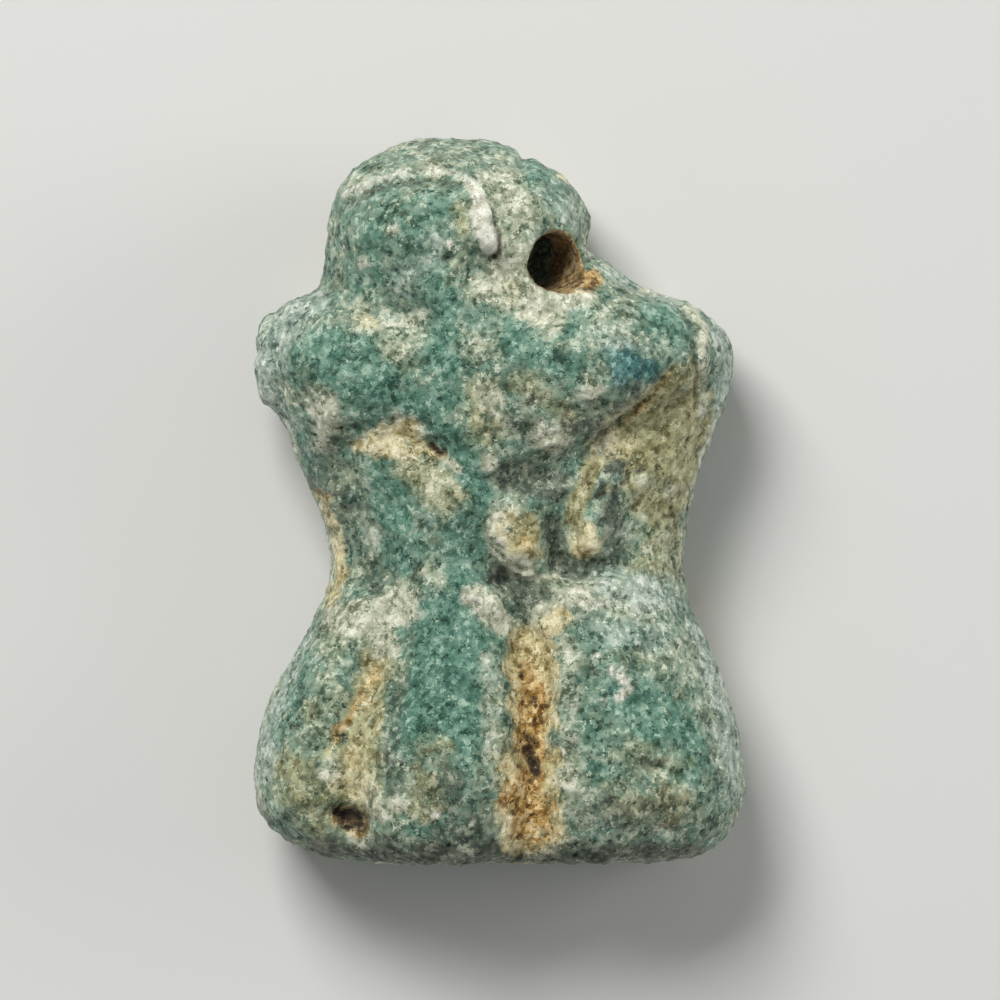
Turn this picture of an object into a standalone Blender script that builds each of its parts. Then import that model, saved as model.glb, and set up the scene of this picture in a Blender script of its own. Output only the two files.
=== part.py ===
"""A small moulded amulet of blue-green faience, lying on its flat back.

The knob at its head points to +Y, the relief faces +Z, and the origin lies under the middle of the
back, on the surface that the amulet rests on. It is one solid, with a stringing bore through its neck.
"""

import math

import bmesh
import bpy
from mathutils import Matrix, Vector

# Driving sizes, in metres
HEIGHT = 0.0200
THICKNESS = 0.0068
BORE_DIAMETER = 0.0016

# The free form keeps its proportions: a place on it is in hundredths of the height, counted across
# from the middle line and up from the foot, and a depth is in hundredths of the thickness.
HUNDREDTH = HEIGHT / 100
DEPTH_HUNDREDTH = THICKNESS / 100

# The outline's lower corners and its crown are arcs
CORNER_UP = 9.5
LEFT_CORNER_WIDTH = 15.0
RIGHT_CORNER_WIDTH = 10.0
CROWN_FROM = 86.0
CROWN_UP = 100.0
CROWN_ACROSS = -6.0
LEFT_CROWN_SQUARENESS = 2.3
RIGHT_CROWN_SQUARENESS = 1.95

# The outline's sides between the arcs: (up, across)
LEFT_EDGE = (
    (CORNER_UP, -33.9),
    (16.9, -33.5),
    (23.0, -31.3),
    (28.4, -28.4),
    (35.4, -24.7),
    (40.0, -23.3),
    (44.6, -23.7),
    (52.3, -26.6),
    (59.2, -29.4),
    (63.9, -32.2),
    (68.0, -33.6),
    (73.1, -32.7),
    (76.6, -30.4),
    (78.0, -27.8),
    (79.0, -25.3),
    (82.0, -24.5),
    (CROWN_FROM, -23.8),
)
RIGHT_EDGE = (
    (CORNER_UP, 33.9),
    (16.1, 33.4),
    (23.0, 31.6),
    (30.8, 28.4),
    (35.4, 26.4),
    (42.3, 25.4),
    (50.0, 26.6),
    (58.5, 29.4),
    (65.4, 31.9),
    (69.5, 32.4),
    (73.9, 30.6),
    (76.6, 26.9),
    (77.9, 22.8),
    (79.4, 19.0),
    (82.4, 15.2),
    (CROWN_FROM, 12.9),
)

# Front's depth over the back, before the relief: (up, depth)
FRONT = (
    (0.0, 92.5),
    (14.0, 94.5),
    (33.0, 84.0),
    (42.0, 80.0),
    (54.0, 86.0),
    (69.0, 92.5),
    (79.0, 86.0),
    (CROWN_FROM, 91.0),
    (CROWN_UP, 87.0),
)

# Cross-section: how square its front is, the share of its depth where it is widest, and the share of
# its width that was pressed flat at the back
SQUARENESS = 2.6
WIDEST_SHARE = 0.40
FLAT_SHARE = 0.78

# Foot: how high its edges start to round off, and the shares of the front's and the back's depth that
# are left at its end
FOOT_EDGE_UP = 5.0
FOOT_FRONT_SHARE = 0.76
FOOT_BACK_SHARE = 0.90

# Swellings and ridges of the relief: (name, height, half-width, places along the middle)
RAISED_FALLOFF = 3.0
RAISED = (
    ("face of the knob", 7.1, 8.4, ((-14.6, 88.4), (-13.0, 82.6))),
    ("right side of the knob", 3.8, 4.4, ((6.4, 92.8), (5.8, 89.8))),
    ("rim of the cap", 2.9, 2.2, ((-20.6, 94.4), (-12.5, 97.4), (-4.0, 96.6))),
    ("raised seam", 4.1, 1.7, ((-4.2, 93.0), (-0.9, 84.8))),
    ("rim of the bore", 2.9, 2.2, ((13.4, 86.0), (14.4, 80.8), (9.4, 76.4))),
    ("left shoulder", 7.1, 7.4, ((-23.6, 70.4), (-21.0, 65.2))),
    ("breastbone", 2.1, 5.4, ((-5.4, 76.4), (-3.0, 70.0), (-1.4, 60.0))),
    ("right shoulder", 7.6, 6.8, ((8.0, 67.6), (16.0, 70.4), (23.0, 70.0))),
    ("belly", 4.4, 5.4, ((-4.4, 57.0), (-7.4, 48.0), (-8.4, 40.0))),
    ("left fingertip", 6.5, 3.3, ((2.0, 46.4), (3.2, 43.8))),
    ("right fingertip", 5.9, 3.0, ((13.4, 47.4), (12.8, 43.6))),
    ("left lobe", 4.7, 6.4, ((-26.4, 29.0), (-28.0, 11.0))),
    ("shaft", 5.0, 6.6, ((-7.2, 35.6), (-6.6, 24.0), (-8.4, 2.0))),
    ("right lobe", 5.6, 10.4, ((17.6, 29.0), (21.0, 9.0))),
    ("left fork ridge", 2.6, 2.6, ((-20.6, 39.0), (-15.0, 37.2), (-17.4, 32.0))),
    ("middle fork ridge", 3.2, 2.2, ((-4.2, 40.4), (2.0, 35.2))),
    ("right fork ridge", 2.9, 2.4, ((16.4, 40.0), (8.0, 34.4))),
)

# Furrows and hollows of the relief, in the same form, with their depth
SUNK_FALLOFF = 2.0
SUNK = (
    ("furrow under the cap", 4.1, 1.7, ((-23.0, 89.0), (-19.4, 92.8), (-12.4, 94.6), (-5.8, 94.0))),
    ("notch in the crown", 3.5, 1.7, ((3.0, 99.0), (1.4, 94.0))),
    ("hollow beside the seam", 3.2, 2.8, ((3.0, 89.4), (1.8, 81.6))),
    ("furrow over the left shoulder", 7.1, 2.5, ((-26.4, 78.4), (-18.6, 76.4), (-10.0, 73.0))),
    ("furrow over the right shoulder", 5.0, 2.3, ((-1.4, 81.0), (3.0, 77.0), (8.4, 74.6))),
    ("left armpit", 9.4, 2.9, ((-19.0, 58.0), (-12.0, 57.8), (-8.2, 56.6))),
    ("hollow beside the belly", 3.5, 3.2, ((-11.0, 54.6), (-12.8, 50.0))),
    ("undercut of the right shoulder", 7.6, 2.4, ((28.0, 65.4), (22.4, 60.8), (13.8, 56.6), (4.4, 53.6))),
    ("right flank", 5.3, 6.4, ((22.6, 55.0), (21.4, 44.0))),
    ("left flank", 6.5, 3.1, ((-21.0, 53.0), (-18.0, 44.0), (-14.6, 37.0))),
    ("hollow between the fingertips", 5.9, 2.1, ((8.2, 49.0), (8.4, 42.0))),
    ("hollow under the fingertips", 5.6, 2.4, ((0.0, 39.4), (6.0, 39.2), (15.0, 40.6))),
    ("left groove", 8.8, 2.9, ((-14.6, 33.4), (-18.2, 25.0), (-20.2, 16.5), (-19.8, -2.0))),
    ("right groove", 12.1, 3.0, ((2.6, 32.4), (4.5, 25.0), (4.6, 13.0), (4.2, -2.0))),
    ("pit by the foot", 5.9, 1.9, ((-20.8, 6.8), (-20.0, 6.0))),
    ("left rim line", 3.2, 1.5, ((-29.6, 75.6), (-31.2, 68.6), (-29.4, 61.0))),
    ("right rim line", 4.4, 1.5, ((25.2, 76.6), (28.8, 71.4), (29.2, 64.6), (26.6, 55.0))),
)

# Stringing bore: drilled from the left flank and from the front at the right, in two straight runs
# that meet inside. Each place is (across, up, depth over the back).
BORE_LEFT_MOUTH = (-24.5, 84.4, 32.0)
BORE_MEETING = (3.0, 82.9, 46.0)
BORE_RIGHT_MOUTH = (8.8, 82.4, 86.0)
BORE_OVERRUN = 1.6
BORE_SIDES = 20

# Fineness of the mesh
FRONT_STEPS = 48
BACK_STEPS = 5
FOOT_RINGS = 6
BODY_RINGS = 42
NECK_FROM = 73.0
NECK_RINGS = 12
CROWN_RINGS = 10

GLAZE_COLOUR = (0.20, 0.38, 0.31, 1.0)
GLAZE_ROUGHNESS = 0.72


def clear_scene():
    for old in list(bpy.data.objects):
        bpy.data.objects.remove(old)


def read_off(stations, up):
    """Value at this height on the smooth curve through the stations."""
    if up <= stations[0][0]:
        return stations[0][1]
    if up >= stations[-1][0]:
        return stations[-1][1]
    last = len(stations) - 1
    i = max(k for k in range(last) if stations[k][0] <= up)

    def slope(k):
        before = stations[max(k - 1, 0)]
        after = stations[min(k + 1, last)]
        return (after[1] - before[1]) / (after[0] - before[0])

    low = stations[i]
    high = stations[i + 1]
    span = high[0] - low[0]
    rise = high[1] - low[1]
    t = (up - low[0]) / span
    bend_low = slope(i) * span - rise
    bend_high = rise - slope(i + 1) * span
    return low[1] + t * rise + t * (1 - t) * ((1 - t) * bend_low + t * bend_high)


def arc_share(distance, radius, squareness=2.0):
    """1 at no distance, falling to 0 on a quarter of an ellipse as the distance reaches the radius."""
    t = min(max(distance / radius, 0.0), 1.0)
    return (1 - t**squareness) ** (1 / squareness)


def edges_at(up):
    """Left and right edges of the outline at this height."""
    left = read_off(LEFT_EDGE, up)
    right = read_off(RIGHT_EDGE, up)
    if up > CROWN_FROM:
        rise = up - CROWN_FROM
        span = CROWN_UP - CROWN_FROM
        left = CROWN_ACROSS + (left - CROWN_ACROSS) * arc_share(rise, span, LEFT_CROWN_SQUARENESS)
        right = CROWN_ACROSS + (right - CROWN_ACROSS) * arc_share(rise, span, RIGHT_CROWN_SQUARENESS)
    if up < CORNER_UP:
        drawn_in = 1 - arc_share(CORNER_UP - up, CORNER_UP)
        left += LEFT_CORNER_WIDTH * drawn_in
        right -= RIGHT_CORNER_WIDTH * drawn_in
    return left, right


def end_share(up, foot_share):
    """How much of the depth is left here, as the crown and the foot round off."""
    if up > CROWN_FROM:
        return arc_share(up - CROWN_FROM, CROWN_UP - CROWN_FROM)
    return foot_share + (1 - foot_share) * arc_share(FOOT_EDGE_UP - up, FOOT_EDGE_UP)


def place(across, up, depth):
    """Where a place on the amulet lies, in metres."""
    return Vector((across * HUNDREDTH, up * HUNDREDTH - HEIGHT / 2, depth * DEPTH_HUNDREDTH))


def distance_to_path(spot, path):
    best = math.inf
    for start, end in zip(path, path[1:]):
        a = Vector(start)
        along = Vector(end) - a
        t = min(max((spot - a).dot(along) / along.length_squared, 0.0), 1.0)
        best = min(best, (spot - a - along * t).length)
    return best


def relief_at(across, up):
    """Depth that the carving adds to the front here."""
    spot = Vector((across, up))
    height = 0.0
    for sign, falloff, marks in ((1, RAISED_FALLOFF, RAISED), (-1, SUNK_FALLOFF, SUNK)):
        for _, size, half_width, path in marks:
            distance = distance_to_path(spot, path)
            height += sign * size * math.exp(-((distance / half_width) ** falloff))
    return height


def section_at(up):
    """Points of the closed cross-section here, as (across, depth), anticlockwise from the right."""
    left, right = edges_at(up)
    middle = (left + right) / 2
    half_width = (right - left) / 2
    full = read_off(FRONT, up)
    widest = full * WIDEST_SHARE
    points = []
    front_share = end_share(up, FOOT_FRONT_SHARE)
    for k in range(FRONT_STEPS):
        side = math.cos(math.pi * k / FRONT_STEPS)
        across = middle + half_width * side
        reach = front_share * arc_share(abs(side), 1.0, SQUARENESS)
        points.append((across, widest + (full - widest + relief_at(across, up)) * reach))
    back_share = end_share(up, FOOT_BACK_SHARE)
    arc = [math.pi / 2 * k / BACK_STEPS for k in range(BACK_STEPS + 1)]
    turned_under = [(FLAT_SHARE + (1 - FLAT_SHARE) * math.cos(turn), math.sin(turn)) for turn in arc]
    for side, reach in turned_under:
        points.append((middle - half_width * side, widest * (1 - back_share * reach)))
    for side, reach in reversed(turned_under[1:]):
        points.append((middle + half_width * side, widest * (1 - back_share * reach)))
    return points


def ring_heights():
    """Heights of the cross-sections, closer together at the foot, the neck and the crown."""
    quarter = math.pi / 2
    foot = [CORNER_UP * (1 - math.cos(quarter * k / FOOT_RINGS)) for k in range(FOOT_RINGS)]
    body = [CORNER_UP + (NECK_FROM - CORNER_UP) * k / BODY_RINGS for k in range(BODY_RINGS)]
    neck = [NECK_FROM + (CROWN_FROM - NECK_FROM) * k / NECK_RINGS for k in range(NECK_RINGS)]
    crown_span = CROWN_UP - CROWN_FROM
    crown = [CROWN_FROM + crown_span * math.sin(quarter * k / CROWN_RINGS) for k in range(CROWN_RINGS)]
    return foot + body + neck + crown


def make_body():
    """The moulded body before its bore, as one closed mesh of bridged cross-sections."""
    mesh = bmesh.new()
    loops = []
    for up in ring_heights():
        loops.append([mesh.verts.new(place(across, up, depth)) for across, depth in section_at(up)])
    crown_tip = mesh.verts.new(place(CROWN_ACROSS, CROWN_UP, read_off(FRONT, CROWN_UP) * WIDEST_SHARE))
    count = len(loops[0])
    for lower, upper in zip(loops, loops[1:]):
        for k in range(count):
            after = (k + 1) % count
            mesh.faces.new((lower[k], lower[after], upper[after], upper[k]))
    for k in range(count):
        mesh.faces.new((loops[-1][k], loops[-1][(k + 1) % count], crown_tip))
    mesh.faces.new(loops[0])
    bmesh.ops.recalc_face_normals(mesh, faces=mesh.faces)
    return mesh


def make_bore_cutter(name, mouth):
    """A rod from just past the place where the two runs meet to well outside the mouth."""
    inner = place(*BORE_MEETING)
    along = place(*mouth) - inner
    length = along.length * BORE_OVERRUN + BORE_DIAMETER / 2
    middle = inner + along.normalized() * (length / 2 - BORE_DIAMETER / 2)
    turn = along.to_track_quat("Z", "Y").to_matrix().to_4x4()
    mesh = bmesh.new()
    bmesh.ops.create_cone(
        mesh,
        cap_ends=True,
        segments=BORE_SIDES,
        radius1=BORE_DIAMETER / 2,
        radius2=BORE_DIAMETER / 2,
        depth=length,
        matrix=Matrix.Translation(middle) @ turn,
    )
    data = bpy.data.meshes.new(name)
    mesh.to_mesh(data)
    mesh.free()
    cutter = bpy.data.objects.new(name, data)
    bpy.context.scene.collection.objects.link(cutter)
    cutter.hide_render = True
    cutter.display_type = "WIRE"
    return cutter


def glaze():
    material = bpy.data.materials.new("blue_green_faience")
    material.use_nodes = True
    shader = material.node_tree.nodes["Principled BSDF"]
    shader.inputs["Base Color"].default_value = GLAZE_COLOUR
    shader.inputs["Roughness"].default_value = GLAZE_ROUGHNESS
    shader.inputs["Metallic"].default_value = 0.0
    return material


def main():
    clear_scene()
    body = make_body()
    data = bpy.data.meshes.new("amulet")
    body.to_mesh(data)
    body.free()
    data.materials.append(glaze())
    data.shade_smooth()
    amulet = bpy.data.objects.new("amulet", data)
    bpy.context.scene.collection.objects.link(amulet)
    for name, mouth in (("left_bore_cutter", BORE_LEFT_MOUTH), ("right_bore_cutter", BORE_RIGHT_MOUTH)):
        bore = amulet.modifiers.new(name, "BOOLEAN")
        bore.operation = "DIFFERENCE"
        bore.object = make_bore_cutter(name, mouth)


main()
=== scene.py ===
import math

import bmesh
import bpy
import numpy as np
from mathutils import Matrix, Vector, noise


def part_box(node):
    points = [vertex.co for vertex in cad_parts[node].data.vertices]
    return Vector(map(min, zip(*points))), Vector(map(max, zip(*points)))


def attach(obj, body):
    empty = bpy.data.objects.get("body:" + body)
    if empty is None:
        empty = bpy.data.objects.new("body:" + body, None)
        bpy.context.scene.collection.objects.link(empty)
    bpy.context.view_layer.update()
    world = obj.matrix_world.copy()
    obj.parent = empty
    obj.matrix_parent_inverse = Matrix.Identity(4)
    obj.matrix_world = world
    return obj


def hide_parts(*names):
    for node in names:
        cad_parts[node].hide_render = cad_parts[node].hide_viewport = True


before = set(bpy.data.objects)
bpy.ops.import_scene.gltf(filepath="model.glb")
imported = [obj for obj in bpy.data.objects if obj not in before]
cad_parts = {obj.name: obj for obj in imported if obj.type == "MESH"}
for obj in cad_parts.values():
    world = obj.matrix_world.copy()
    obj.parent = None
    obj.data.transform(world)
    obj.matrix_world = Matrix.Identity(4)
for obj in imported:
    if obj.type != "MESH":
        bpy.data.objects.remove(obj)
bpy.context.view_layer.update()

# The amulet is one piece of faience: a paste of crushed quartz, pressed into an open mould, bored
# through the neck, dried, and fired under a blue-green glaze. Wear has thinned the glaze on the
# edges, and burial has left cream crusts, ochre soil and small pits in it.

# Places on the amulet are in hundredths of its height: across from its middle line, up from its foot
# and out from its back. Distances over the surface are in the same measure.
low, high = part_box("amulet")
HUNDREDTH = (high.y - low.y) / 100

# The pressed form: the solid's own faces, merged, made even and fine, and worn smooth
MERGE_REACH = HUNDREDTH / 200
FACE_SIZE = 0.51
WEAR_ROUNDS = 9
WEAR_SHARE = 0.5


def smoothed_copy(mesh, rounds):
    """The mesh with each point drawn in towards its neighbours, this many times over."""
    copy = bmesh.new()
    copy.from_mesh(mesh)
    for _ in range(rounds):
        bmesh.ops.smooth_vert(
            copy, verts=copy.verts, factor=WEAR_SHARE, use_axis_x=True, use_axis_y=True, use_axis_z=True
        )
    return copy


pressed = bmesh.new()
pressed.from_mesh(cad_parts["amulet"].data)
bmesh.ops.remove_doubles(pressed, verts=pressed.verts, dist=MERGE_REACH)
bmesh.ops.translate(pressed, verts=pressed.verts, vec=(0, -low.y, 0))
bmesh.ops.scale(pressed, verts=pressed.verts, vec=(1 / HUNDREDTH,) * 3)
coarse = bpy.data.meshes.new("pressed_form")
pressed.to_mesh(coarse)
pressed.free()
coarse_form = bpy.data.objects.new("pressed_form", coarse)
bpy.context.scene.collection.objects.link(coarse_form)
even_faces = coarse_form.modifiers.new("even_faces", "REMESH")
even_faces.mode = "VOXEL"
even_faces.voxel_size = FACE_SIZE
fine_form = coarse_form.evaluated_get(bpy.context.evaluated_depsgraph_get())
body = bpy.data.meshes.new_from_object(fine_form)
body.name = "faience_amulet"
bpy.data.objects.remove(coarse_form)
worn = smoothed_copy(body, WEAR_ROUNDS)
worn.to_mesh(body)
worn.free()


def spots_of(mesh):
    """Where the mesh's points are."""
    values = np.empty(len(mesh.vertices) * 3)
    mesh.vertices.foreach_get("co", values)
    return values.reshape(-1, 3)


def facings_of(mesh):
    """Which way the mesh's points face."""
    values = np.empty(len(mesh.vertices) * 3)
    mesh.vertex_normals.foreach_get("vector", values)
    return values.reshape(-1, 3)


def move_points(mesh, spots):
    """Puts the mesh's points where the spots say."""
    mesh.vertices.foreach_set("co", spots.ravel())
    mesh.update()


def ramp(values, start, end):
    """0 up to the start, 1 from the end on, and a smooth rise between them."""
    share = np.clip((values - start) / (end - start), 0.0, 1.0)
    return share * share * (3 - 2 * share)


def distance_to_run(spots, run):
    """Distance of each point from the nearest stretch of the run, in as many axes as the run has."""
    nearest = np.full(len(spots), np.inf)
    for start, end in zip(run, run[1:] if len(run) > 1 else run):
        start = np.array(start)
        along = np.array(end) - start
        away = spots[:, :len(start)] - start
        share = np.clip(away @ along / max(along @ along, 1e-9), 0.0, 1.0)
        nearest = np.minimum(nearest, np.linalg.norm(away - share[:, None] * along, axis=1))
    return nearest


def stroke(spots, half_width, run, falloff=2.0):
    """1 along the run and nothing well past its half-width."""
    return np.exp(-((distance_to_run(spots, run) / half_width) ** falloff))


def cloud(spots, size, layers=3, shift=0.0):
    """Soft noise of about -1 to 1, with lumps of this size. Another shift gives another pattern."""
    offset = Vector((shift, -shift, shift / 2))
    return np.array([noise.fractal(Vector(spot) / size + offset, 1.0, 2.0, layers) for spot in spots])


# Middle lines of the marks that hold a film as well
CAP_RIM = ((-21.1, 91.8), (-17.2, 93.6), (-13.8, 94.6), (-9.4, 95.3), (-6.1, 94.6), (-4.2, 93.2))
UNDER_CAP = ((-20.6, 90.4), (-17.1, 92.4), (-13.8, 93.3), (-9.4, 94.0), (-6.3, 93.0))
INSIDE_RIGHT_RIM = ((25.0, 76.2), (26.7, 73.2), (27.2, 68.4), (27.0, 62.6))
BESIDE_LEFT_WAIST = ((-21.8, 48.4), (-21.2, 44.0), (-21.2, 39.6))
KNOB_PIT = ((-7.2, 82.8),)
LONG_SCRATCH = ((16.8, 52.0), (17.8, 52.9))
SECOND_SCRATCH = ((18.8, 53.6), (19.8, 53.9))
SHORT_SCRATCH = ((13.2, 50.3), (14.2, 50.7))
BELLY_PIT = ((-1.4, 38.8), (0.8, 39.4))
LOBE_PIT = ((19.6, 14.2), (20.8, 13.4), (22.6, 13.8))

# Fine ridges and swellings of the relief: (name, height, half-width, run along the middle)
RAISED = (
    ("rim of the cap", 0.2, 0.9, CAP_RIM),
    ("seam on the cap", 0.55, 1.2, ((-3.6, 92.4), (-2.6, 90.0), (-1.7, 86.2), (-1.2, 84.6))),
    ("lip of the bore", 0.4, 1.4, ((3.6, 85.0), (4.4, 80.6), (8.0, 77.0), (12.4, 77.2))),
    ("rim of the left shoulder", 0.5, 1.2, ((-31.6, 76.6), (-33.0, 70.6), (-32.0, 63.8))),
    ("rim of the right shoulder", 0.25, 0.6, ((25.7, 76.5), (27.7, 73.7), (28.2, 68.6), (28.0, 62.6))),
    ("crust over the left shoulder", 0.35, 2.2, ((-19.6, 75.4), (-13.0, 72.0))),
    ("crust on the breast", 0.3, 2.4, ((11.0, 74.6), (16.6, 72.4))),
    ("lower crust on the breast", 0.4, 1.8, ((12.2, 65.2),)),
    ("crust above the fingers", 0.5, 2.0, ((5.6, 59.0), (8.0, 57.4))),
    ("edge of the wedge hollow", 0.15, 1.0, ((-18.0, 55.6), (-13.8, 54.8), (-9.0, 54.0))),
    ("crust under the armpit", 0.2, 2.2, ((-12.6, 54.0), (-8.4, 52.0), (-6.6, 49.6))),
    ("left fingertip", 0.6, 1.9, ((1.0, 49.4), (-0.3, 46.4), (0.2, 43.4), (2.4, 41.0), (5.4, 39.6))),
    ("tip of the left finger", 0.4, 1.6, ((3.6, 43.2),)),
    ("line to the right finger", 0.1, 1.2, ((12.9, 54.7), (10.8, 49.6), (10.4, 47.4))),
    ("right fingertip", 0.7, 2.2, ((12.2, 45.0), (12.5, 43.6))),
    ("left fork ridge", 0.5, 2.6, ((-20.6, 35.0), (-15.0, 35.6), (-15.6, 30.6))),
    ("middle fork ridge", 0.6, 1.7, ((-3.4, 36.6), (1.6, 32.6))),
    ("right fork ridge", 0.5, 2.0, ((17.0, 38.0), (10.0, 35.8), (6.6, 32.6))),
    ("left edge of the right groove", 0.4, 1.5, ((-0.6, 30.0), (0.0, 20.0), (-0.2, 6.0))),
    ("right edge of the right groove", 0.4, 1.5, ((8.6, 29.0), (9.2, 18.0), (8.8, 6.0))),
    ("right edge of the left groove", 0.4, 1.4, ((-13.4, 29.0), (-15.6, 16.0), (-14.2, 6.0))),
    ("chips on the right lobe", 0.35, 0.9, ((15.6, 26.0), (17.4, 24.6), (16.0, 23.0))),
)

# Fine furrows, scratches and pits, in the same form
SUNK = (
    ("line under the cap", 0.35, 0.6, UNDER_CAP),
    ("line by the seam", 0.6, 0.5, ((-0.7, 89.4), (0.1, 86.0), (0.1, 84.0), (-0.8, 82.9), (-2.0, 83.0))),
    ("notch in the crown", 0.9, 1.0, ((3.6, 98.4), (2.8, 95.0))),
    ("worn side of the bore's mouth", 1.6, 2.2, ((10.6, 83.4), (13.0, 85.0))),
    ("pit on the knob", 0.8, 0.8, KNOB_PIT),
    ("line inside the left rim", 0.6, 0.8, ((-30.4, 75.6), (-31.2, 70.0), (-30.2, 63.0))),
    ("notch in the left rim", 0.5, 0.8, ((-33.8, 70.2), (-32.6, 70.2))),
    ("line inside the right rim", 0.45, 0.5, INSIDE_RIGHT_RIM),
    (
        "cut under the right shoulder", 0.8, 0.7,
        ((23.6, 67.8), (20.2, 63.2), (17.1, 60.6), (13.6, 58.2), (11.4, 55.6)),
    ),
    ("cut beside the right finger", 0.5, 0.9, ((13.8, 54.4), (13.0, 51.0), (12.2, 48.6))),
    ("long scratch on the flank", 0.3, 0.35, LONG_SCRATCH),
    ("second scratch beside it", 0.25, 0.3, SECOND_SCRATCH),
    ("short scratch on the flank", 0.3, 0.4, SHORT_SCRATCH),
    ("upper edge of the wedge hollow", 0.15, 0.6, ((-19.0, 59.2), (-14.4, 61.6), (-9.0, 59.2))),
    ("pit in the wedge hollow", 0.35, 0.5, ((-9.8, 57.9), (-7.7, 56.3))),
    ("cut in the left waist", 0.5, 0.7, ((-25.2, 50.8), (-23.0, 50.0))),
    ("groove of the left waist", 0.5, 1.8, ((-20.6, 47.0), (-19.4, 41.0), (-16.6, 37.6))),
    ("line beside the left waist's edge", 0.6, 0.6, BESIDE_LEFT_WAIST),
    ("hollow between the fingers", 0.5, 1.7, ((7.4, 46.4), (8.2, 41.8), (12.6, 40.0))),
    ("hollow in the left finger", 0.4, 0.6, ((2.8, 45.6), (5.0, 45.2))),
    ("line round the right finger", 0.4, 0.5, ((10.4, 45.4), (10.6, 43.0), (12.6, 41.6))),
    ("hollow under the fingers", 0.6, 2.0, ((1.4, 38.4), (5.8, 36.4))),
    ("pit under the belly", 0.5, 0.8, BELLY_PIT),
    ("hollow over the fingers", 0.5, 2.4, ((2.0, 54.0), (8.6, 53.0))),
    ("upper pit by the foot", 0.6, 0.6, ((-22.3, 7.0), (-18.9, 5.9))),
    ("lower pit by the foot", 0.5, 0.5, ((-21.3, 5.0), (-18.6, 4.7))),
    ("line over the foot pit", 0.4, 0.8, ((-21.4, 10.4), (-17.8, 9.2))),
    ("curl in the left groove", 0.5, 0.6, ((-20.6, 19.4), (-22.4, 18.2), (-22.2, 16.8))),
    ("floor of the right groove", 0.15, 1.9, ((3.6, 27.0), (4.2, 20.0), (4.0, 8.0))),
    ("left edge of the shaft", 0.5, 1.1, ((-12.6, 31.0), (-14.2, 23.0), (-15.6, 15.0), (-14.2, 7.0))),
    ("deep pit in the right groove", 0.9, 0.7, ((4.2, 15.2), (4.9, 12.8))),
    ("curved pit on the right lobe", 0.6, 0.7, LOBE_PIT),
)

# Fine scores left by the brush and by wear: (depth, spacing, turn in degrees, half-width, run)
SCORED = (
    (0.30, 0.55, 50.0, 5.0, ((24.0, 63.0), (20.6, 56.0), (24.0, 48.0))),
    (0.22, 0.50, 70.0, 3.6, ((-30.0, 74.6), (-27.6, 72.0))),
    (0.20, 0.60, 62.0, 4.0, ((-24.0, 32.0), (-28.0, 22.0))),
    (0.30, 0.60, -58.0, 2.6, ((-19.6, 45.4), (-18.4, 40.0))),
)
SCORE_LENGTH = 9.0

# The stringing bore, drilled in two straight runs that meet inside
BORE = ((-24.5, 84.4, 10.9), (3.0, 82.9, 15.6), (8.8, 82.4, 29.2))
BORE_RADIUS = 4.0
BORE_SKIN = 0.7

# The relief covers all that faces up or sideways, and fades out on the parts that face down
CARVED_FACINGS = (-0.5, -0.1)
spots = spots_of(body)
facings = facings_of(body)
in_bore = 1 - ramp(distance_to_run(spots, BORE), BORE_RADIUS, BORE_RADIUS + BORE_SKIN)
carved = ramp(facings[:, 2], *CARVED_FACINGS) * (1 - in_bore)

# Nothing on it runs quite straight: every run wanders off its middle line, the broad ones the most.
# Each mark is also deeper in some places than in others.
WANDER = 0.45
WANDER_SIZE = 2.6
STRAIGHT_HALF_WIDTH = 0.6
UNEVENNESS = 0.5
UNEVEN_SIZE = 2.0
wander = np.zeros_like(spots)
wander[:, 0] = WANDER * cloud(spots, WANDER_SIZE, shift=3.0)
wander[:, 1] = WANDER * cloud(spots, WANDER_SIZE, shift=17.0)
uneven = 1 + UNEVENNESS * cloud(spots, UNEVEN_SIZE, shift=41.0)


def strayed(spots, half_width):
    """Where the points would be, if a mark of this width ran straight."""
    return spots + wander * max(half_width - STRAIGHT_HALF_WIDTH, 0.0)


relief = np.zeros(len(spots))
for _, size, half_width, run in RAISED:
    relief += size * stroke(strayed(spots, half_width), half_width, run)
for _, size, half_width, run in SUNK:
    relief -= size * stroke(strayed(spots, half_width), half_width, run)
relief *= uneven
for depth, spacing, turn, half_width, run in SCORED:
    along = np.array((math.cos(math.radians(turn)), math.sin(math.radians(turn)), 0.0))
    across = np.array((-along[1], along[0], 0.0))
    stretched = np.outer(spots @ across, across) / spacing + np.outer(spots @ along, along) / SCORE_LENGTH
    relief += depth * cloud(stretched, 1.0, layers=2) * stroke(spots, half_width, run)
spots += facings * (relief * carved)[:, None]

# Crust partly fills the hollow of the left armpit: (height, half-width, run)
ARMPIT_CRUST = (1.4, 2.6, ((-17.2, 57.2), (-13.0, 58.2), (-9.4, 57.2)))
size, half_width, run = ARMPIT_CRUST
spots[:, 2] += size * stroke(strayed(spots, half_width), half_width, run) * carved

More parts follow.
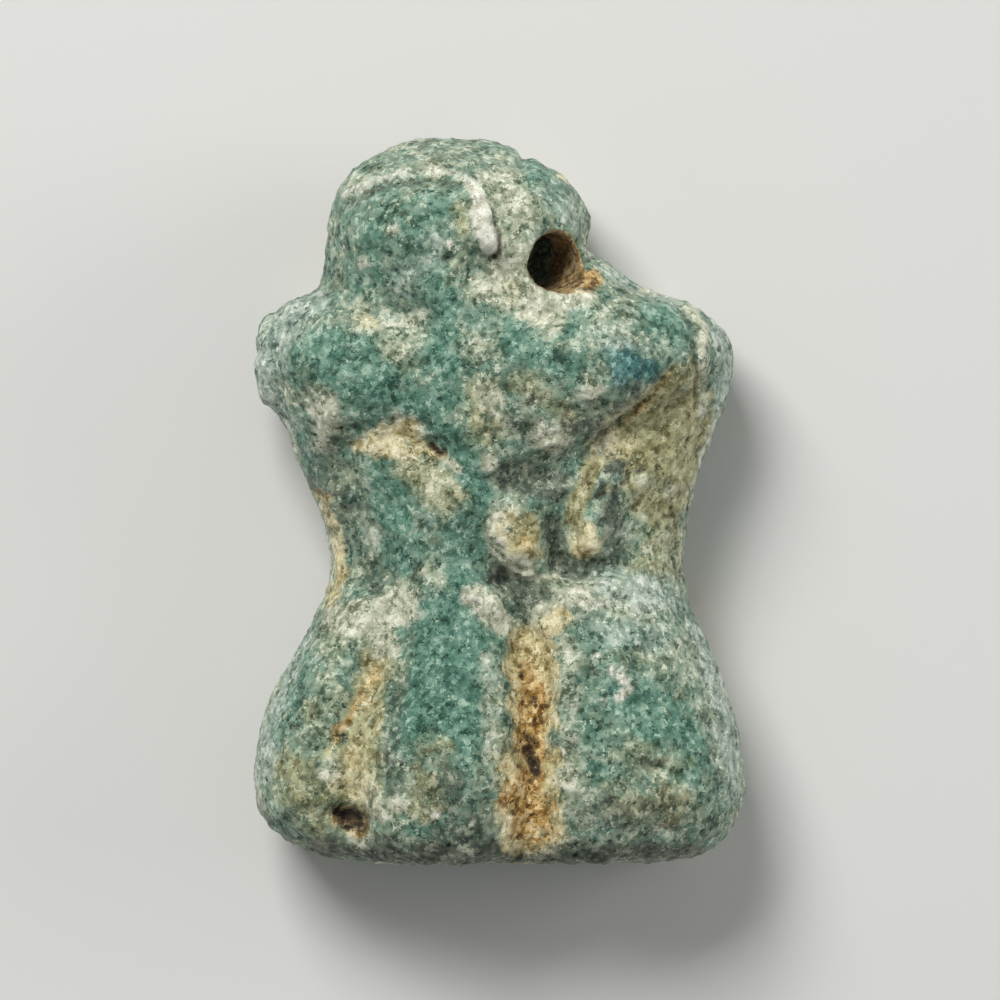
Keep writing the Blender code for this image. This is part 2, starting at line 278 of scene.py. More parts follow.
# What covers the glaze or shows through it: for each film, (share, half-width, run along the middle).
# A film lies over those that come before it.
FILMS = {
    # Glaze that wear has spared, on the knob, the shoulders, the belly, the shaft and the lobes
    "deep_glaze": (
        (0.6, 5.5, ((-18.6, 82.0), (-15.0, 88.4), (-8.8, 89.4))),
        (0.7, 4.0, ((-12.0, 82.0), (-8.6, 78.0))),
        (0.7, 2.2, ((4.4, 96.0), (8.4, 92.0))),
        (0.95, 5.0, ((-24.6, 69.6), (-18.8, 65.4), (-13.6, 62.6))),
        (0.95, 2.8, ((-8.0, 75.0), (-7.4, 66.0), (-8.6, 61.4))),
        (0.9, 2.6, ((-10.4, 61.0), (-5.4, 57.0), (-3.2, 50.0))),
        (1.0, 2.8, ((2.2, 72.0), (6.0, 74.4), (10.4, 74.6))),
        (0.7, 3.0, ((5.4, 68.6), (9.6, 66.6))),
        (0.5, 3.0, ((2.0, 62.0), (7.6, 62.4))),
        (0.9, 3.0, ((21.6, 75.4), (24.6, 73.6))),
        (0.7, 2.2, ((-27.6, 61.0), (-25.0, 54.6))),
        (0.9, 3.0, ((-15.4, 54.0), (-14.4, 48.0), (-13.6, 42.6))),
        (0.9, 3.4, ((-6.0, 49.4), (-5.0, 44.0), (-5.4, 38.0), (-6.6, 33.0))),
        (1.0, 2.2, ((-4.6, 40.6), (-2.4, 38.8))),
        (1.3, 6.2, ((-6.6, 32.0), (-6.4, 27.0), (-7.6, 20.6))),
        (1.1, 5.0, ((-7.2, 15.0), (-7.4, 5.0))),
        (0.9, 4.2, ((18.4, 23.0), (22.6, 19.4), (26.4, 15.0))),
        (0.6, 3.2, ((11.2, 17.4), (14.4, 11.6))),
        (0.5, 3.0, ((12.0, 30.4), (18.0, 30.4))),
        (0.6, 3.0, ((-28.0, 29.4), (-30.0, 21.6))),
        (0.35, 3.0, ((-29.6, 11.6),)),
    ),
    # The one bluer spot, on the right shoulder
    "blue_glaze": (
        (0.95, 3.2, ((17.2, 69.0), (19.4, 66.8))),
    ),
    # Grey grime, mostly in hollows and along the foot, where much of it is painted shade
    "grey_film_and_shade": (
        (0.35, 2.4, ((-15.0, 79.0), (-9.6, 77.0))),
        (0.6, 2.6, ((-0.6, 60.6), (4.8, 59.4))),
        (0.95, 2.8, ((1.6, 53.0), (7.6, 52.0))),
        (1.2, 2.6, ((14.8, 56.0), (18.6, 54.8))),
        # painted shadow under the right shoulder's ledge
        (0.75, 1.7, ((9.6, 60.6), (15.0, 59.8))),
        (1.0, 1.4, ((19.4, 64.6), (16.2, 61.6), (13.6, 60.0))),
        # painted shade in the hollows between and under the fingers
        (0.85, 1.7, ((7.2, 46.6), (7.8, 42.0))),
        (0.85, 2.0, ((8.2, 40.6), (14.6, 40.2))),
        (0.75, 2.0, ((15.2, 51.2), (15.2, 46.6), (16.8, 42.0))),
        (1.1, 2.8, ((1.0, 38.6), (4.4, 36.8))),
        (0.3, 3.8, ((-6.6, 48.6), (-5.4, 42.0))),
        (0.5, 3.0, ((-20.6, 49.4), (-18.8, 44.0), (-16.4, 38.6))),
        (0.6, 2.4, ((-23.4, 57.4), (-24.4, 53.4))),
        # painted shadow beside the left edge of the shaft
        (0.5, 1.4, ((-13.2, 25.0), (-15.0, 15.0), (-14.0, 7.6))),
        (0.75, 5.4, ((-8.8, 11.0), (-4.4, 5.0))),
        (0.7, 3.6, ((12.4, 7.4), (24.0, 7.0))),
        # painted shade along the foot's lower edge, which turns away from the light
        (1.5, 3.2, ((-24.0, 0.0), (0.0, 0.2), (26.0, -0.6))),
        (0.6, 0.6, UNDER_CAP),
        (0.6, 0.7, BESIDE_LEFT_WAIST),
    ),
    # Thin brownish glaze, on the right flank and round the fingers
    "olive_film": (
        (1.5, 4.2, ((24.8, 64.2), (19.8, 59.4))),
        (1.4, 5.5, ((24.0, 59.0), (22.6, 53.0))),
        (0.6, 5.0, ((22.6, 46.4), (21.6, 42.0))),
        (1.1, 1.3, ((13.0, 55.0), (12.2, 52.4), (10.6, 49.6), (10.2, 47.0), (11.6, 45.0))),
        (1.2, 1.9, ((3.6, 46.0), (3.8, 42.8))),
        (1.0, 2.4, ((12.0, 44.2),)),
        (0.7, 3.0, ((-12.4, 54.6), (-8.8, 52.4), (-7.4, 50.4))),
        (0.6, 4.4, ((-28.0, 12.0), (-24.6, 6.6))),
        (0.9, 2.7, ((-17.0, 28.0), (-18.2, 21.0), (-18.8, 13.0))),
        (0.6, 3.6, ((-20.0, 13.0), (-18.0, 8.6))),
        (0.5, 2.0, ((-26.2, 21.4),)),
        (0.5, 3.2, ((-8.8, 15.6), (-10.6, 8.6))),
        (0.4, 4.0, ((17.6, 9.4), (25.0, 8.0))),
        (0.8, 3.6, ((4.4, 12.0), (4.2, 5.0))),
        (0.35, 3.2, ((17.0, 14.6), (24.4, 14.0))),
        (0.6, 3.0, ((-2.6, 64.0), (-2.0, 59.6))),
        (0.5, 2.4, ((2.6, 66.0), (9.0, 62.0))),
        (0.6, 1.5, ((-5.4, 89.6), (-5.2, 86.6))),
    ),
    # Lime crust, on ridges and beside the grooves
    "cream_crust": (
        (0.3, 1.8, ((-20.8, 93.4), (-15.6, 95.6), (-9.2, 96.6), (-3.0, 95.6))),
        (0.9, 1.3, ((-9.4, 96.0), (-8.4, 95.2))),
        (0.55, 4.4, ((-0.4, 93.4), (2.4, 89.0), (1.0, 82.0))),
        (1.1, 3.2, ((-0.4, 79.6), (4.0, 77.8), (6.4, 75.4))),
        (0.7, 1.8, ((8.4, 77.0), (12.0, 78.0))),
        (0.36, 3.2, ((12.4, 74.4), (16.6, 72.6))),
        (0.58, 2.6, ((-18.6, 75.0), (-15.0, 73.0))),
        (0.6, 2.8, ((-13.6, 71.6), (-11.4, 74.0))),
        (0.3, 3.0, ((-26.0, 75.2), (-29.4, 72.6))),
        (0.6, 1.3, ((-33.4, 67.0), (-32.0, 62.4), (-28.4, 56.0))),
        (0.9, 2.2, ((-24.2, 63.4), (-23.6, 60.4))),
        (0.6, 1.8, ((-25.0, 57.6),)),
        (0.65, 2.0, ((-1.8, 65.0), (-0.6, 63.0))),
        (0.7, 1.7, ((3.8, 63.2),)),
        (0.85, 2.2, ((12.4, 65.2),)),
        (0.85, 2.3, ((6.0, 59.0), (8.0, 57.6))),
        (0.6, 1.6, ((-1.4, 54.6),)),
        (0.5, 2.0, ((-2.2, 71.0),)),
        (0.8, 1.1, ((30.0, 60.6), (27.2, 51.6), (26.0, 45.6))),
        (0.95, 0.75, ((25.7, 76.5), (27.7, 73.7), (28.2, 68.6), (28.0, 61.6))),
        (0.5, 1.6, ((19.4, 53.0), (23.3, 51.4))),
        (0.37, 2.9, ((-12.4, 54.6), (-8.8, 52.4), (-7.4, 50.4))),
        (0.65, 1.3, ((-19.2, 57.2), (-16.6, 59.0), (-13.6, 60.8), (-10.8, 59.4))),
        (0.8, 1.2, ((-17.0, 56.6), (-11.4, 56.4))),
        (0.8, 0.8, ((-7.6, 55.8), (-5.6, 54.0))),
        (0.55, 1.6, ((-9.8, 39.8), (-8.0, 38.6))),
        (0.4, 2.4, ((-17.6, 45.0),)),
        (0.95, 1.8, ((0.4, 47.8), (-0.4, 45.6), (0.0, 43.4), (2.4, 41.2), (4.0, 40.4))),
        (0.85, 1.4, ((6.4, 38.8), (9.4, 37.6))),
        (1.25, 2.5, ((-22.0, 33.4), (-16.4, 33.6), (-13.2, 35.6))),
        (1.1, 1.9, ((-16.2, 33.6), (-15.8, 29.6))),
        (0.6, 1.2, ((-12.9, 35.4),)),
        (1.3, 1.7, ((-3.4, 36.6), (-0.6, 34.2), (2.0, 31.6))),
        (0.9, 2.2, ((5.6, 33.4), (9.2, 35.8), (15.4, 37.8))),
        (0.65, 3.4, ((15.4, 37.4), (21.4, 35.0))),
        (0.3, 4.0, ((24.0, 44.0), (23.6, 38.6))),
        (0.5, 1.8, ((9.4, 30.0), (9.8, 18.8), (9.4, 8.0))),
        (0.45, 1.8, ((-1.4, 28.0), (-1.0, 12.0))),
        (0.35, 3.0, ((24.0, 30.8), (28.0, 23.6), (30.6, 16.0))),
        (0.7, 1.0, ((27.6, 32.0), (31.8, 20.0), (33.6, 10.0), (32.4, 4.0))),
        (0.7, 0.9, ((-26.6, 34.6), (-29.8, 27.0), (-32.6, 19.8), (-34.0, 13.2), (-33.0, 7.0))),
        (0.8, 1.8, ((-23.6, 12.2),)),
        (0.8, 1.7, ((-18.2, 10.6), (-16.0, 7.2), (-14.0, 8.0))),
        (0.85, 1.5, ((-19.2, 3.4),)),
        (0.55, 1.3, ((-14.4, 86.8),)),
        (0.6, 1.2, ((-18.6, 82.4),)),
    ),
    # Glaze worn pale along the rims, with a painted highlight along the outline's edges
    "pale_bloom_and_rim_highlight": (
        (0.95, 2.6, ((-26.0, 77.0), (-31.0, 73.0), (-32.8, 66.4), (-30.8, 60.0))),
        (0.45, 2.4, ((6.6, 92.4), (10.6, 88.4))),
        (0.95, 1.8, ((30.2, 75.0), (31.6, 69.6), (30.8, 62.6))),
        (0.7, 1.5, ((13.2, 84.2), (17.6, 80.2), (25.0, 77.6))),
        (1.0, 2.3, ((28.0, 32.0), (32.0, 20.0), (33.6, 9.0))),
        (0.5, 3.2, ((13.0, 32.6), (22.0, 30.6))),
        (0.7, 2.0, ((-27.0, 32.0), (-31.0, 22.0), (-32.6, 12.0))),
        (0.75, 3.2, ((15.6, 38.4), (22.4, 36.4))),
        (0.4, 3.0, ((-9.6, 84.6), (-13.6, 79.6))),
    ),
    # Bare paste, on the seam and in chips
    "white_paste": (
        (1.0, 1.1, ((-3.7, 92.8), (-2.8, 90.4))),
        (1.5, 1.35, ((-2.6, 90.0), (-1.7, 86.2), (-1.2, 84.7))),
        (0.25, 0.5, ((27.7, 73.7), (28.2, 68.6))),
        (0.75, 0.8, ((15.4, 26.6), (17.2, 25.0))),
        (0.8, 0.8, ((17.8, 24.0), (16.4, 22.8))),
        (0.6, 0.6, ((13.4, 28.6),)),
        (0.5, 0.6, ((14.2, 22.4),)),
        (0.5, 0.7, CAP_RIM),
        (0.8, 0.7, ((-6.8, 84.8),)),
        (0.8, 0.7, ((-8.6, 6.8),)),
        (0.8, 0.7, ((5.8, 21.4),)),
        (0.4, 1.5, ((1.0, 78.4), (4.4, 76.4))),
        (0.8, 0.5, ((0.3, 44.2),)),
        (0.7, 0.7, ((-26.1, 64.8),)),
        (0.5, 1.0, ((-3.0, 36.2), (0.6, 33.6))),
    ),
    # Sandy crust, in the armpit and the grooves
    "sandy_crust": (
        (0.8, 0.9, ((-19.4, 57.2), (-17.0, 57.2))),
        (0.85, 2.1, ((-16.8, 57.4), (-12.0, 57.4))),
        (0.8, 1.4, ((-15.4, 59.6), (-12.2, 59.8))),
        (0.7, 1.1, ((-11.4, 57.6), (-8.8, 56.4))),
        (0.25, 2.4, ((-17.0, 27.6), (-18.2, 21.0), (-18.8, 15.6))),
        (0.5, 3.6, ((-21.4, 15.0), (-19.4, 9.6))),
        (0.7, 1.3, ((-24.8, 50.5), (-23.4, 46.7), (-22.3, 42.8), (-22.2, 39.0), (-23.4, 36.2))),
        (0.6, 1.5, ((-17.8, 74.4),)),
        (0.5, 1.8, ((1.6, 78.6),)),
        (0.65, 1.5, ((1.4, 47.6), (0.8, 45.8), (2.6, 43.4))),
        (0.9, 2.1, ((12.0, 44.6), (12.2, 43.6))),
        (0.85, 1.8, ((8.2, 33.6), (6.2, 32.0), (4.6, 29.4))),
        (1.4, 3.4, ((4.4, 29.0), (4.6, 20.0))),
        (1.2, 4.2, ((4.4, 13.6), (4.0, 4.6))),
        (0.45, 2.4, ((17.0, 57.0), (13.6, 56.6))),
    ),
    # Soil, in the grooves, the pits and the bore's mouth
    "ochre_soil": (
        (0.7, 1.6, ((4.2, 26.4), (4.4, 24.2))),
        (0.95, 2.1, ((4.4, 23.4), (4.0, 20.0), (4.4, 13.6), (3.8, 7.8))),
        (0.9, 3.0, ((3.2, 9.0),)),
        (0.85, 3.0, ((4.4, 7.4), (4.6, 4.2))),
        (0.35, 1.4, ((-16.8, 26.4), (-18.6, 22.0))),
        (0.5, 1.0, ((-17.6, 25.0), (-19.4, 22.0), (-20.6, 19.6))),
        (0.6, 0.9, ((-20.6, 19.6), (-22.2, 18.4), (-22.2, 17.0))),
        (0.5, 0.5, ((23.4, 67.4), (20.2, 63.0))),
        (0.5, 0.7, ((20.4, 63.6), (18.8, 61.8))),
        (0.22, 0.9, ((12.8, 54.6), (11.0, 50.4))),
        (0.35, 0.6, ((20.2, 63.0), (17.1, 60.4), (13.6, 58.0))),
        (0.3, 0.8, ((-14.4, 61.9),)),
        (0.95, 1.4, ((11.8, 79.2), (13.0, 80.4))),
        (0.4, 0.8, ((-25.6, 50.8), (-23.2, 50.2))),
        (0.3, 0.6, ((2.6, 45.8), (5.0, 45.6), (5.3, 42.8))),
        (0.45, 1.3, ((3.4, 44.6), (4.3, 42.6))),
        (0.6, 1.0, ((-7.6, 56.0),)),
        (0.8, 1.8, ((-21.6, 6.6), (-19.2, 5.4))),
    ),
    # The darkest soil, in the bottom of pits and scratches, and painted shadow by the seam and the ledge
    "dark_soil_and_shadow": (
        (0.8, 1.6, ((-21.2, 6.4), (-19.2, 5.6))),
        (1.0, 0.42, ((-9.8, 57.4), (-7.9, 56.2))),
        (0.9, 0.55, ((-22.3, 7.2), (-20.2, 6.4), (-18.9, 5.6))),
        (0.8, 0.45, ((-21.5, 5.0), (-18.8, 4.6))),
        (0.7, 0.7, ((4.6, 22.4),)),
        (0.6, 0.7, ((3.2, 26.0),)),
        (0.85, 0.65, ((4.0, 17.4), (4.8, 16.4))),
        (1.0, 0.8, ((4.0, 15.6), (4.9, 12.6))),
        (0.55, 0.5, ((6.0, 11.6),)),
        (0.6, 0.6, ((1.8, 7.0),)),
        (0.7, 0.4, LONG_SCRATCH),
        (0.5, 0.35, SECOND_SCRATCH),
        (0.8, 0.45, SHORT_SCRATCH),
        (0.45, 0.8, ((12.9, 54.8), (11.6, 51.6))),
        (0.7, 0.7, KNOB_PIT),
        # painted shadow beside the raised seam on the cap
        (0.6, 0.45, ((-0.5, 88.0), (0.1, 85.4), (0.0, 83.6), (-1.4, 82.9))),
        (0.45, 0.5, INSIDE_RIGHT_RIM),
        # painted shadow under the right shoulder's ledge
        (0.4, 0.5, ((21.6, 65.4), (20.2, 63.6), (17.1, 61.0), (13.6, 58.6))),
        (0.5, 0.7, BELLY_PIT),
        (0.6, 0.8, LOBE_PIT),
        (0.6, 0.8, ((17.2, 5.6),)),
        (0.6, 0.8, ((22.4, 5.4), (24.2, 4.8))),
    ),
}

# The films above are the front's. Round the edges they give way to patches of the same stuffs, which
# cover the flanks and the back: for each film, (share, size of the patches, how rare they are). The
# end of the foot, facing away from the key light, gets more of the grey as painted shade.
PATCHES = {
    "deep_glaze": (0.85, 15.0, 0.02),
    "grey_film_and_shade": (0.45, 12.0, 0.20),
    "olive_film": (0.5, 16.0, 0.22),
    "cream_crust": (0.8, 15.0, 0.18),
    "sandy_crust": (0.8, 9.0, 0.36),
    "ochre_soil": (0.7, 5.0, 0.55),
}
PATCH_EDGE = 0.25
PATCH_SHIFT = 60.0
PATCH_SHIFT_STEP = 9.0
FOOT_SHADE_SHARE = 0.35
FOOT_FACINGS = (0.2, 0.9)
BORE_SHARES = {"ochre_soil": 1.0, "dark_soil_and_shadow": 0.45}

# The front's films end along a ragged line, and each stroke of one has a crisp edge
FRONT_FACINGS = (-0.05, 0.25)
RAGGEDNESS = 0.2
RAGGED_SIZE = 3.0
FILM_EDGE = 3.0

# Each film lies a little over the glaze or under it
FILM_LIFT = {"deep_glaze": 0.08, "cream_crust": 0.14, "sandy_crust": -0.12, "dark_soil_and_shadow": -0.25}


def keep_share(name, share):
    """Writes one share for each point on the amulet's mesh, for the faience to read."""
    layer = body.attributes.new(name, "FLOAT", "POINT")
    layer.data.foreach_set("value", share.astype(np.float32))


spots_before = spots.copy()
front_facings = facings[:, 2] + RAGGEDNESS * cloud(spots_before, RAGGED_SIZE, shift=7.0)
front = ramp(front_facings, *FRONT_FACINGS)
for order, (film, strokes) in enumerate(FILMS.items()):
    share = np.zeros(len(spots))
    for strength, half_width, run in strokes:
        mark = stroke(strayed(spots_before, half_width), half_width, run, FILM_EDGE)
        share = np.maximum(share, strength * mark)
    share *= front
    if film in PATCHES:
        strength, size, rarity = PATCHES[film]
        spread = cloud(spots_before, size, layers=4, shift=PATCH_SHIFT + PATCH_SHIFT_STEP * order)
        if film == "grey_film_and_shade":
            # the foot's end faces away from the key light and gets more grey: painted shade
            spread += FOOT_SHADE_SHARE * ramp(-facings[:, 1], *FOOT_FACINGS)
        patch = ramp(spread, rarity, rarity + PATCH_EDGE)
        share = np.maximum(share, strength * patch * (1 - front))
    share *= 1 - in_bore
    share = np.maximum(share, BORE_SHARES.get(film, 0.0) * in_bore)
    keep_share(film, share)
    spots += facings * (FILM_LIFT.get(film, 0.0) * share)[:, None]

# Small pits where grains have dropped out, and the lumpy, granular skin of fired paste
PIT_COUNT = 420
PIT_HALF_WIDTH = (0.35, 0.6)
PIT_DEPTH = (0.25, 0.6)
PIT_SEED = 7
SHADED_DEPTHS = (0.1, 0.5)
LUMPS = ((7.0, 0.32), (2.6, 0.30), (1.0, 0.22))
LUMP_SHIFT = 31.0
LUMP_SHIFT_STEP = 5.0
SKIN_SHARE_BELOW = 0.35
dice = np.random.default_rng(PIT_SEED)
shaded_pits = np.zeros(len(spots))
for chosen in dice.choice(len(spots), PIT_COUNT, replace=False):
    half_width = dice.uniform(*PIT_HALF_WIDTH)
    depth = dice.uniform(*PIT_DEPTH)
    away = np.linalg.norm(spots_before - spots_before[chosen], axis=1)
    shaded_pits = np.maximum(shaded_pits, depth * np.exp(-((away / half_width) ** 2)))
skin = -shaded_pits
for order, (size, amount) in enumerate(LUMPS):
    skin += amount * cloud(spots_before, size, layers=2, shift=LUMP_SHIFT + LUMP_SHIFT_STEP * order)
skin *= SKIN_SHARE_BELOW + (1 - SKIN_SHARE_BELOW) * carved
spots += facings * skin[:, None]
# the deeper pits get darker colour: painted shade
keep_share("shaded_pits", ramp(shaded_pits, *SHADED_DEPTHS))

# Edges stand out from a smoothed copy of the form; hollows lie behind it and get painted shade
EDGE_ROUNDS = 12
EDGE_REACH = 0.5
move_points(body, spots)
smoothed = smoothed_copy(body, EDGE_ROUNDS)
behind = np.array([vert.co[:] for vert in smoothed.verts])
smoothed.free()
stand_out = ((spots - behind) * facings).sum(axis=1)
keep_share("edges", ramp(stand_out, 0.0, EDGE_REACH))
# the hollows' share darkens the colour: painted shade
keep_share("hollow_shade", ramp(-stand_out, 0.0, EDGE_REACH))

# The finished form fills the solid's own box and lies flat on its back
lowest = spots.min(axis=0)
highest = spots.max(axis=0)
solid_low = np.array(low) / HUNDREDTH
solid_high = np.array(high) / HUNDREDTH
spots = solid_low + (spots - lowest) / (highest - lowest) * (solid_high - solid_low)
move_points(body, spots * HUNDREDTH)
body.shade_smooth()

# The faience itself: the glaze's own tones first, and then each film over it. Sizes of the grain are
# in grains a millimetre.
MILLIMETRES = 1000
faience = bpy.data.materials.new("worn_blue_green_faience")
faience.use_nodes = True
nodes = faience.node_tree.nodes
links = faience.node_tree.links
shader = nodes["Principled BSDF"]

place = nodes.new("ShaderNodeTexCoord")
to_millimetres = nodes.new("ShaderNodeMapping")
to_millimetres.inputs["Scale"].default_value = (MILLIMETRES,) * 3
links.new(place.outputs["Object"], to_millimetres.inputs["Vector"])


def tone(red, green, blue):
    """A colour as a paint chart gives it, from 0 to 255, made linear."""
    shares = [value / 255 for value in (red, green, blue)]
    return [s / 12.92 if s <= 0.04045 else ((s + 0.055) / 1.055) ** 2.4 for s in shares] + [1.0]


def speckle(grains, detail=2.0, roughness=0.6, shift=0.0):
    """Soft noise from 0 to 1, with this many grains a millimetre."""
    moved = nodes.new("ShaderNodeMapping")
    moved.inputs["Location"].default_value = (shift, shift / 3, -shift)
    links.new(to_millimetres.outputs["Vector"], moved.inputs["Vector"])
    texture = nodes.new("ShaderNodeTexNoise")
    texture.inputs["Scale"].default_value = grains
    texture.inputs["Detail"].default_value = detail
    texture.inputs["Roughness"].default_value = roughness
    links.new(moved.outputs["Vector"], texture.inputs["Vector"])
    return texture.outputs["Fac"]


# Crushed grains have crumbled outlines: how fine the crumbling is, and how far it reaches, for grains
# of one to a millimetre
CRUMBLE_FINENESS = 1.6
CRUMBLE_REACH = 1.8


def crystals(grains, shift=0.0):
    """Crushed grains, this many a millimetre: a chance shade for each one, and how it rounds off."""
    moved = nodes.new("ShaderNodeMapping")
    moved.inputs["Location"].default_value = (shift, shift / 3, -shift)
    links.new(to_millimetres.outputs["Vector"], moved.inputs["Vector"])
    crumble = nodes.new("ShaderNodeTexNoise")
    crumble.inputs["Scale"].default_value = grains * CRUMBLE_FINENESS
    crumble.inputs["Detail"].default_value = 1.0
    links.new(moved.outputs["Vector"], crumble.inputs["Vector"])
    crumbled = nodes.new("ShaderNodeVectorMath")
    crumbled.operation = "MULTIPLY_ADD"
    crumbled.inputs[1].default_value = (CRUMBLE_REACH / grains,) * 3
    links.new(crumble.outputs["Color"], crumbled.inputs[0])
    links.new(moved.outputs["Vector"], crumbled.inputs[2])
    texture = nodes.new("ShaderNodeTexVoronoi")
    texture.inputs["Scale"].default_value = grains
    links.new(crumbled.outputs["Vector"], texture.inputs["Vector"])
    return texture.outputs["Color"], texture.outputs["Distance"]


def film_share(name):
    """How much of this film is on the surface."""
    layer = nodes.new("ShaderNodeAttribute")
    layer.attribute_name = name
    return layer.outputs["Fac"]


def between(value, start, end, at_start=0.0, at_end=1.0):
    """The value's place between start and end, smoothed, as a number from at_start to at_end."""
    node = nodes.new("ShaderNodeMapRange")
    node.interpolation_type = "SMOOTHSTEP"
    links.new(value, node.inputs["Value"])
    node.inputs["From Min"].default_value = start
    node.inputs["From Max"].default_value = end
    node.inputs["To Min"].default_value = at_start
    node.inputs["To Max"].default_value = at_end
    return node.outputs["Result"]


def reckon(operation, *values):
    """A sum, product or the like of values, any of which may be a plain number."""
    node = nodes.new("ShaderNodeMath")
    node.operation = operation
    for socket, value in zip(node.inputs, values):
        if isinstance(value, (int, float)):
            socket.default_value = value
        else:
            links.new(value, socket)
    return node.outputs["Value"]


def swing(value, weight, middle=0.0):
    """A value from 0 to 1, as a swing of this weight about the middle."""
    return reckon("MULTIPLY_ADD", value, weight, middle - weight / 2)


def mixed(share, under, over):
    """The second colour laid over the first, as far as the share says."""
    node = nodes.new("ShaderNodeMix")
    node.data_type = "RGBA"
    colour_sockets = [socket for socket in node.inputs if socket.type == "RGBA"]
    links.new(share, node.inputs["Factor"])
    for socket, colour in zip(colour_sockets, (under, over)):
        links.new(colour, socket)
    return next(socket for socket in node.outputs if socket.type == "RGBA")


# A film is whole where its share passes the end of this stretch, and gone before its start
FILM_STRETCH = (0.1, 0.9)


def eaten_film(name, bites):
    """A film's share, eaten into by the grain of what lies under it."""
    share = film_share(name)
    return between(reckon("MULTIPLY_ADD", share, bites, share), *FILM_STRETCH)


# Each covering is grains of one stuff, from its darkest to its palest
GRAIN_TONES = {
    "teal": ((44, 70, 56), (82, 114, 96), (112, 142, 122), (142, 166, 146), (194, 206, 184)),
    "sage": ((54, 66, 48), (94, 110, 86), (132, 146, 120), (166, 176, 148), (214, 216, 190)),
    "deep_glaze": ((30, 62, 50), (60, 100, 83), (88, 130, 111), (118, 154, 134), (166, 192, 170)),
    "blue_glaze": ((26, 60, 60), (42, 88, 86), (64, 114, 110), (96, 146, 139), (150, 184, 174)),
    "grey_film_and_shade": ((36, 44, 35), (63, 74, 61), (91, 101, 84), (123, 132, 113), (170, 174, 152)),
    "olive_film": ((90, 86, 52), (126, 123, 84), (158, 156, 114), (182, 180, 138), (208, 206, 170)),
    "cream_crust": ((104, 112, 86), (148, 154, 128), (188, 190, 164), (214, 214, 190), (240, 238, 220)),
    "pale_bloom_and_rim_highlight": ((80, 98, 86), (126, 146, 132), (160, 177, 160), (186, 199, 184), (224, 230, 216)),
    "white_paste": ((150, 152, 130), (190, 190, 168), (218, 217, 200), (234, 233, 218), (246, 244, 232)),
    "sandy_crust": ((124, 108, 62), (170, 156, 108), (206, 194, 146), (230, 218, 174), (248, 240, 206)),
    "ochre_soil": ((62, 40, 10), (118, 86, 32), (176, 138, 72), (212, 178, 116), (240, 220, 172)),
    "dark_soil_and_shadow": ((12, 6, 2), (30, 20, 8), (52, 38, 18), (82, 68, 40), (124, 112, 80)),
}

flecks = speckle(1.5, detail=2.0, roughness=0.75)
patches = speckle(1.0, detail=4.0, roughness=0.85, shift=11.0)
quartz, quartz_shape = crystals(8.5)
flakes, _ = crystals(4.0, shift=19.0)
bites = swing(speckle(1.6, detail=3.0, roughness=0.9, shift=37.0), 2.0)
bites = reckon("ADD", bites, swing(flakes, 0.8))

# Here and there a grain of bare quartz shows white, or has dropped out and left a hole, darkened as
# painted shade
STRAY_RADIUS = (0.25, 0.45)
BARE_GRAINS = (0.74, 0.80)
DROPPED_GRAINS = (0.26, 0.20)
strays, stray_shape = crystals(5.5, shift=53.0)
stray = between(stray_shape, *STRAY_RADIUS, at_start=1.0, at_end=0.0)
bare = reckon("MULTIPLY", between(strays, *BARE_GRAINS), stray)
shaded_holes = reckon("MULTIPLY", between(strays, *DROPPED_GRAINS), stray)

# The grain runs through every film. Bare grains and worn edges are paler, and holes, hollows and pits
# are darker: painted shade.
paleness = swing(flecks, 1.45, middle=0.5)
paleness = reckon("ADD", paleness, swing(quartz, 0.9))
paleness = reckon("ADD", paleness, swing(flakes, 0.3))
for place_share, change in (
    (bare, 0.5),
    (shaded_holes, -0.28),
    (film_share("edges"), 0.16),
    (film_share("hollow_shade"), -0.20),
    (film_share("shaded_pits"), -0.45),
):
    paleness = reckon("MULTIPLY_ADD", place_share, change, paleness)


def grains(name):
    """The tones of one covering, picked by the paleness of each grain."""
    picker = nodes.new("ShaderNodeValToRGB")
    stops = picker.color_ramp.elements
    for _ in GRAIN_TONES[name][2:]:
        stops.new(0.5)
    for order, (stop, shade) in enumerate(zip(stops, GRAIN_TONES[name])):
        stop.position = order / (len(GRAIN_TONES[name]) - 1)
        stop.color = tone(*shade)
    links.new(paleness, picker.inputs["Fac"])
    return picker.outputs["Color"]


# The glaze is sage where it is thin and teal where it is thick
THICK_GLAZE = (0.40, 0.58)
colour = mixed(between(patches, *THICK_GLAZE), grains("sage"), grains("teal"))
for film in FILMS:
    colour = mixed(eaten_film(film, bites), colour, grains(film))
links.new(colour, shader.inputs["Base Color"])

# A dull skin with a little glaze left shining in it
SHINING_FLECKS = (0.35, 0.65)
DULL_ROUGHNESS = 0.85
GLAZE_ROUGHNESS = 0.55
roughness = between(flecks, *SHINING_FLECKS, at_start=DULL_ROUGHNESS, at_end=GLAZE_ROUGHNESS)
links.new(roughness, shader.inputs["Roughness"])
shader.inputs["Specular IOR Level"].default_value = 0.35
shader.inputs["Sheen Weight"].default_value = 0.15
shader.inputs["Sheen Roughness"].default_value = 0.5

# The grain can be felt: each grain is rounded, and a dropped one leaves a hole
GRAIN_HEIGHT = 0.00008
GRAIN_STRENGTH = 0.55
GRAIN_ROUNDING = 0.30
HOLE_DEPTH = 0.5
felt = reckon("MULTIPLY_ADD", quartz_shape, -GRAIN_ROUNDING, flecks)
felt = reckon("MULTIPLY_ADD", shaded_holes, -HOLE_DEPTH, felt)
granular = nodes.new("ShaderNodeBump")
granular.inputs["Strength"].default_value = GRAIN_STRENGTH
granular.inputs["Distance"].default_value = GRAIN_HEIGHT
links.new(felt, granular.inputs["Height"])
links.new(granular.outputs["Normal"], shader.inputs["Normal"])

body.materials.clear()
body.materials.append(faience)
amulet = bpy.data.objects.new("faience_amulet", body)
bpy.context.scene.collection.objects.link(amulet)
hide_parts("amulet")
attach(amulet, "root")

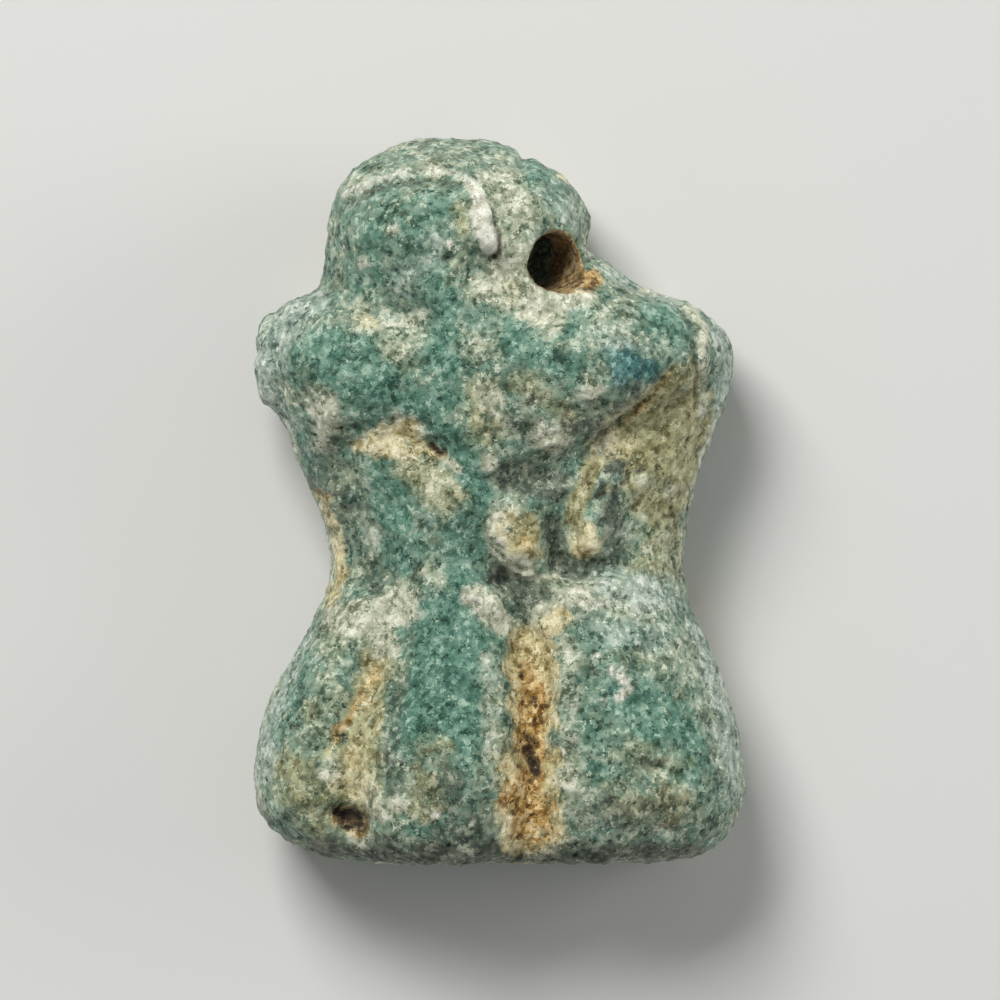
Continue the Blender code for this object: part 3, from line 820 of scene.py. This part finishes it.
# The table that the amulet lies on is one plain, wide board. It is painted in a pale, matt paint, so
# that nothing on it draws the eye from the amulet.
TABLE_REACH = 2.0
TABLE_ROUGHNESS = 0.9
table_faces = bmesh.new()
bmesh.ops.create_grid(table_faces, x_segments=1, y_segments=1, size=TABLE_REACH)
table_mesh = bpy.data.meshes.new("table")
table_faces.to_mesh(table_mesh)
table_faces.free()
paint = bpy.data.materials.new("pale_table_paint")
paint.use_nodes = True
paint_shader = paint.node_tree.nodes["Principled BSDF"]
paint_shader.inputs["Base Color"].default_value = tone(222, 221, 217)
paint_shader.inputs["Roughness"].default_value = TABLE_ROUGHNESS
table_mesh.materials.append(paint)
table = bpy.data.objects.new("table", table_mesh)
bpy.context.scene.collection.objects.link(table)

# Soft studio light: a large panel over the head, to the left, a weaker one on the right, and the
# even light of a pale room.
middle = (low + high) / 2


def light_panel(name, direction, distance, width, power):
    """A square panel of light that faces the amulet from this direction, in metres and watts."""
    panel = bpy.data.lights.new(name, "AREA")
    panel.size = width
    panel.energy = power
    lamp = bpy.data.objects.new(name, panel)
    lamp.location = middle + Vector(direction).normalized() * distance
    lamp.rotation_euler = Vector(direction).to_track_quat("Z", "Y").to_euler()
    bpy.context.scene.collection.objects.link(lamp)


light_panel("key_panel", direction=(-0.40, 0.75, 1.0), distance=0.30, width=0.13, power=0.78)
light_panel("side_panel", direction=(1.0, 0.2, 0.35), distance=0.35, width=0.20, power=0.36)
ROOM_STRENGTH = 0.29
room = bpy.data.worlds.new("pale_room")
room.use_nodes = True
room_light = room.node_tree.nodes["Background"]
room_light.inputs["Color"].default_value = tone(236, 238, 240)
room_light.inputs["Strength"].default_value = ROOM_STRENGTH
bpy.context.scene.world = room
bpy.context.scene.view_settings.view_transform = "Standard"

# The camera looks straight down on the relief, through a long lens, from far enough to flatten it.
# The amulet takes up this share of the frame's height.
LENS = 300
SENSOR = 36
FRAME_HEIGHT_SHARE = 0.728
NEAR_LIMIT = 0.001
view_height = (high.y - low.y) / FRAME_HEIGHT_SHARE
camera_data = bpy.data.cameras.new("camera")
camera_data.lens = LENS
camera_data.sensor_width = SENSOR
camera_data.clip_start = NEAR_LIMIT
camera = bpy.data.objects.new("camera", camera_data)
camera.location = (middle.x, middle.y, middle.z + view_height * LENS / SENSOR)
bpy.context.scene.collection.objects.link(camera)
bpy.context.scene.camera = camera
